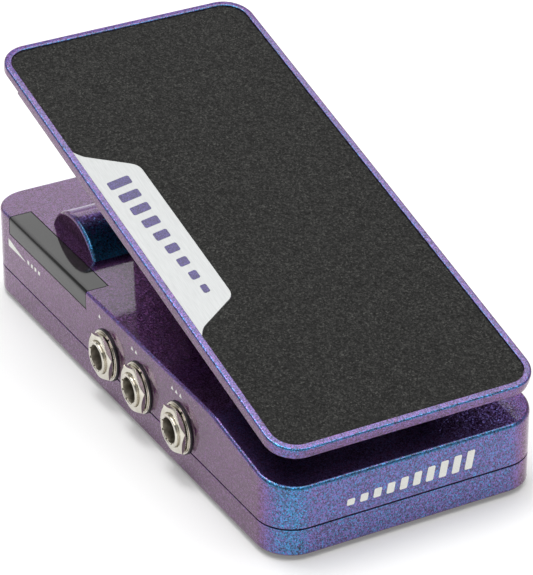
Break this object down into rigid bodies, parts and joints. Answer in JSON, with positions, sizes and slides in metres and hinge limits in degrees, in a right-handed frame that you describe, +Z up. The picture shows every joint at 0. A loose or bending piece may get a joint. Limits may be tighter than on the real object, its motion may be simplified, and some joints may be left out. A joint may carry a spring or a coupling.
{
  "type": "volume pedal",
  "caption": "Compact foot pedal: a tilting treadle with a grit sheet on a low cast housing, with side jacks and a level window.",
  "frame": {"origin": "on the floor under the middle of the object's box, where the rubber feet stand", "axes": "+Z up, +Y towards the toe end, +X towards the side with the input jack; the three output jacks face -X"},
  "size_m": [0.0897, 0.1753, 0.0785],
  "materials": {
    "body_paint": "gloss",
    "treadle_paint": "gloss",
    "nickel": "polished",
    "steel": "satin",
    "bronze": "satin",
    "black_rubber": "matte",
    "grit": "rough",
    "window": "gloss",
    "black_plastic": "matte",
    "white_plastic": "matte",
    "blue_plastic": "matte",
    "board": "satin",
    "label": "satin"
  },
  "bodies": {
    "housing": {"base_cover": "body_paint", "upper_housing": "body_paint", "base_screws": "steel", "rubber_feet": "black_rubber", "led_window": "window", "led_board": "board", "led_chips": "white_plastic", "main_board": "board", "board_screws": "steel", "exp_jack_body": "black_plastic", "exp_jack_bushing": "nickel", "exp_jack_nut": "nickel", "exp_jack_washers": "nickel", "exp_jack_gasket": "black_plastic", "output_jack_body": "black_plastic", "output_jack_bushing": "nickel", "output_jack_nut": "nickel", "output_jack_washers": "nickel", "output_jack_gasket": "black_plastic", "tuner_jack_body": "black_plastic", "tuner_jack_bushing": "nickel", "tuner_jack_nut": "nickel", "tuner_jack_washers": "nickel", "tuner_jack_gasket": "black_plastic", "input_jack_body": "black_plastic", "input_jack_bushing": "nickel", "input_jack_nut": "nickel", "input_jack_washers": "nickel", "input_jack_gasket": "black_plastic", "dc_socket": "black_plastic", "dc_pin": "nickel", "trim_pot": "blue_plastic", "left_bushing": "bronze", "right_bushing": "bronze", "left_bearing_cap": "steel", "right_bearing_cap": "steel", "cap_screws": "steel", "sensor_body": "blue_plastic"},
    "treadle": {"pivot_shaft": "steel", "shaft_clips": "steel", "sector_gear": "white_plastic", "sector_set_screw": "steel", "treadle_neck": "body_paint", "neck_set_screw": "steel", "neck_screws": "steel", "treadle_plate": "treadle_paint", "grip_pad": "grit", "label_plate": "label", "heel_bumpers": "black_rubber"},
    "sensor_rotor": {"sensor_shaft": "steel", "pinion_gear": "white_plastic"},
    "trim": {"trim_knob": "black_plastic"}
  },
  "joints": [
    {"name": "treadle_tilt", "type": "hinge", "parent": "housing", "child": "treadle", "pos_m": [0, 0.0504, 0.022], "axis": [1, 0, 0], "range_deg": [-22, 0]},
    {"name": "sensor_turn", "type": "hinge", "parent": "housing", "child": "sensor_rotor", "pos_m": [0, 0.0359, 0.01524], "axis": [1, 0, 0], "range_deg": [0, 66]},
    {"name": "trim_turn", "type": "hinge", "parent": "housing", "child": "trim", "pos_m": [0.0434, 0.062, 0.0144], "axis": [1, 0, 0], "range_deg": [-140, 140]}
  ],
  "couplings": [
    {"joint": "sensor_turn", "follows": "treadle_tilt", "ratio": -3}
  ]
}
